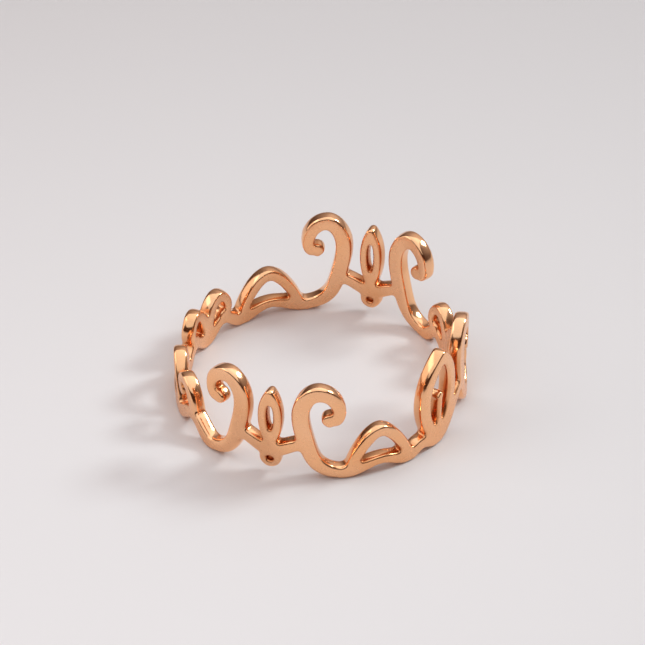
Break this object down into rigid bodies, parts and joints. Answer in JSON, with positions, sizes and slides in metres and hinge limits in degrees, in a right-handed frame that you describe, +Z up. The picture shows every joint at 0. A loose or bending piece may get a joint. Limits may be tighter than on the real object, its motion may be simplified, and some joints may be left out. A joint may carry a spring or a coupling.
{
  "type": "name ring",
  "caption": "Name ring cast in one piece in rose gold, its band an openwork running scroll of volutes, petals, arches and curls in the place of lettering.",
  "frame": {"origin": "axis of the finger hole, on the surface that the ring rests on", "axes": "+Z up along the finger hole, -Y towards the front of the band, +X to the right of it"},
  "size_m": [0.019, 0.019, 0.0075],
  "materials": {
    "rose_gold": "polished rose gold plate, the round faces slightly satin"
  },
  "bodies": {
    "root": {"ring_band": "rose_gold"}
  },
  "joints": []
}
